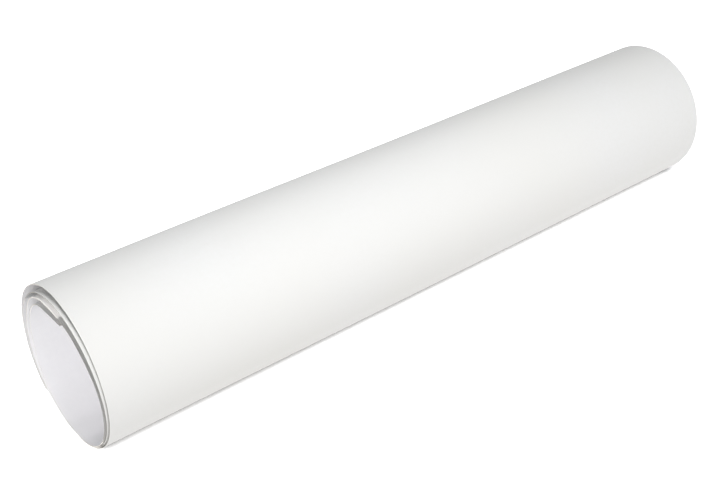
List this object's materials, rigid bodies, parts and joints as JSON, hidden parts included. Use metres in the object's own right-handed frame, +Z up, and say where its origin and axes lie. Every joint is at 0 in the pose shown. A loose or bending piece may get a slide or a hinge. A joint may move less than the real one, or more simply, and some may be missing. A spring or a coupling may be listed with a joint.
{
  "type": "backdrop paper roll",
  "caption": "Loosely rolled sheet of plain white backdrop paper, open at both ends, lying on its side; its outer turn unrolls and its inner free end flexes.",
  "frame": {"origin": "on the flat strip that the roll rests on, midway along the outer turn", "axes": "+X along the roll, -Y to the front, where the outer turn rises from the rest strip and unrolls to, +Z up"},
  "size_m": [0.6844, 0.1362, 0.1345],
  "materials": {
    "white_paper": "matt, uncoated"
  },
  "bodies": {
    "coil": {"middle_front_low": "white_paper", "middle_front_high": "white_paper", "middle_crown_front": "white_paper", "middle_crown_back": "white_paper", "middle_back": "white_paper", "middle_bottom": "white_paper", "rest_strip": "white_paper"},
    "inner_turn": {"inner_back": "white_paper", "inner_bottom_back": "white_paper", "inner_bottom": "white_paper", "inner_bottom_front": "white_paper", "inner_front": "white_paper", "inner_front_high": "white_paper", "inner_crown_front": "white_paper", "inner_crown": "white_paper", "inner_crown_back": "white_paper", "inner_second_back": "white_paper", "inner_second_back_low": "white_paper", "inner_second_bottom": "white_paper"},
    "inner_flap_root_leaf": {"inner_flap_root": "white_paper"},
    "inner_flap_shoulder_leaf": {"inner_flap_shoulder": "white_paper"},
    "inner_flap_edge_leaf": {"inner_flap_edge": "white_paper"},
    "outer_front_foot_leaf": {"outer_front_foot": "white_paper"},
    "outer_front_low_leaf": {"outer_front_low": "white_paper"},
    "outer_front_leaf": {"outer_front": "white_paper"},
    "outer_front_high_leaf": {"outer_front_high": "white_paper"},
    "outer_shoulder_front_leaf": {"outer_shoulder_front": "white_paper"},
    "outer_crown_front_leaf": {"outer_crown_front": "white_paper"},
    "outer_crown_back_leaf": {"outer_crown_back": "white_paper"},
    "outer_shoulder_back_leaf": {"outer_shoulder_back": "white_paper"},
    "outer_back_high_leaf": {"outer_back_high": "white_paper"},
    "outer_back_leaf": {"outer_back": "white_paper"},
    "outer_back_low_leaf": {"outer_back_low": "white_paper"},
    "outer_tail_leaf": {"outer_tail": "white_paper"}
  },
  "joints": [
    {"name": "inner_turn_slide", "type": "slide", "parent": "coil", "child": "inner_turn", "axis": [1, 0, 0], "range_m": [-0.012, 0.012]},
    {"name": "inner_flap_root_bend", "type": "hinge", "parent": "inner_turn", "child": "inner_flap_root_leaf", "pos_m": [0, 0.05211, 0.06027], "axis": [1, 0, 0], "range_deg": [-1, 15], "stiffness_Nm_per_rad": 0.3},
    {"name": "inner_flap_shoulder_bend", "type": "hinge", "parent": "inner_flap_root_leaf", "child": "inner_flap_shoulder_leaf", "pos_m": [0, 0.04701, 0.09106], "axis": [1, 0, 0], "range_deg": [-1, 15], "stiffness_Nm_per_rad": 0.3},
    {"name": "inner_flap_edge_bend", "type": "hinge", "parent": "inner_flap_shoulder_leaf", "child": "inner_flap_edge_leaf", "pos_m": [0, 0.0212, 0.10903], "axis": [1, 0, 0], "range_deg": [-1, 15], "stiffness_Nm_per_rad": 0.3},
    {"name": "outer_front_foot_bend", "type": "hinge", "parent": "coil", "child": "outer_front_foot_leaf", "pos_m": [0, -0.01491, 0.00025], "axis": [1, 0, 0], "range_deg": [0, 10.2], "stiffness_Nm_per_rad": 0.3},
    {"name": "outer_front_low_bend", "type": "hinge", "parent": "outer_front_foot_leaf", "child": "outer_front_low_leaf", "pos_m": [0, -0.02954, 0.00491], "axis": [1, 0, 0], "range_deg": [0, 24], "stiffness_Nm_per_rad": 0.3},
    {"name": "outer_front_bend", "type": "hinge", "parent": "outer_front_low_leaf", "child": "outer_front_leaf", "pos_m": [0, -0.05376, 0.02385], "axis": [1, 0, 0], "range_deg": [0, 24], "stiffness_Nm_per_rad": 0.3},
    {"name": "outer_front_high_bend", "type": "hinge", "parent": "outer_front_leaf", "child": "outer_front_high_leaf", "pos_m": [0, -0.06701, 0.05186], "axis": [1, 0, 0], "range_deg": [0, 24], "stiffness_Nm_per_rad": 0.3},
    {"name": "outer_shoulder_front_bend", "type": "hinge", "parent": "outer_front_high_leaf", "child": "outer_shoulder_front_leaf", "pos_m": [0, -0.06632, 0.08305], "axis": [1, 0, 0], "range_deg": [0, 24], "stiffness_Nm_per_rad": 0.3},
    {"name": "outer_crown_front_bend", "type": "hinge", "parent": "outer_shoulder_front_leaf", "child": "outer_crown_front_leaf", "pos_m": [0, -0.05169, 0.11079], "axis": [1, 0, 0], "range_deg": [0, 24], "stiffness_Nm_per_rad": 0.3},
    {"name": "outer_crown_back_bend", "type": "hinge", "parent": "outer_crown_front_leaf", "child": "outer_crown_back_leaf", "pos_m": [0, -0.0261, 0.12913], "axis": [1, 0, 0], "range_deg": [0, 24], "stiffness_Nm_per_rad": 0.3},
    {"name": "outer_shoulder_back_bend", "type": "hinge", "parent": "outer_crown_back_leaf", "child": "outer_shoulder_back_leaf", "pos_m": [0, 0.00504, 0.13397], "axis": [1, 0, 0], "range_deg": [0, 24], "stiffness_Nm_per_rad": 0.3},
    {"name": "outer_back_high_bend", "type": "hinge", "parent": "outer_shoulder_back_leaf", "child": "outer_back_high_leaf", "pos_m": [0, 0.03484, 0.12392], "axis": [1, 0, 0], "range_deg": [0, 24], "stiffness_Nm_per_rad": 0.3},
    {"name": "outer_back_bend", "type": "hinge", "parent": "outer_back_high_leaf", "child": "outer_back_leaf", "pos_m": [0, 0.05694, 0.10153], "axis": [1, 0, 0], "range_deg": [0, 24], "stiffness_Nm_per_rad": 0.3},
    {"name": "outer_back_low_bend", "type": "hinge", "parent": "outer_back_leaf", "child": "outer_back_low_leaf", "pos_m": [0, 0.06671, 0.0716], "axis": [1, 0, 0], "range_deg": [0, 24], "stiffness_Nm_per_rad": 0.3},
    {"name": "outer_tail_bend", "type": "hinge", "parent": "outer_back_low_leaf", "child": "outer_tail_leaf", "pos_m": [0, 0.06404, 0.03957], "axis": [1, 0, 0], "range_deg": [0, 24], "stiffness_Nm_per_rad": 0.3}
  ],
  "couplings": [
    {"joint": "outer_front_foot_bend", "follows": "outer_front_low_bend", "ratio": 0.425},
    {"joint": "outer_front_bend", "follows": "outer_front_low_bend", "ratio": 1},
    {"joint": "outer_front_high_bend", "follows": "outer_front_low_bend", "ratio": 1},
    {"joint": "outer_shoulder_front_bend", "follows": "outer_front_low_bend", "ratio": 1},
    {"joint": "outer_crown_front_bend", "follows": "outer_front_low_bend", "ratio": 1},
    {"joint": "outer_crown_back_bend", "follows": "outer_front_low_bend", "ratio": 1},
    {"joint": "outer_shoulder_back_bend", "follows": "outer_front_low_bend", "ratio": 1},
    {"joint": "outer_back_high_bend", "follows": "outer_front_low_bend", "ratio": 1},
    {"joint": "outer_back_bend", "follows": "outer_front_low_bend", "ratio": 1},
    {"joint": "outer_back_low_bend", "follows": "outer_front_low_bend", "ratio": 1},
    {"joint": "outer_tail_bend", "follows": "outer_front_low_bend", "ratio": 1},
    {"joint": "inner_flap_shoulder_bend", "follows": "inner_flap_root_bend", "ratio": 1},
    {"joint": "inner_flap_edge_bend", "follows": "inner_flap_root_bend", "ratio": 1}
  ]
}
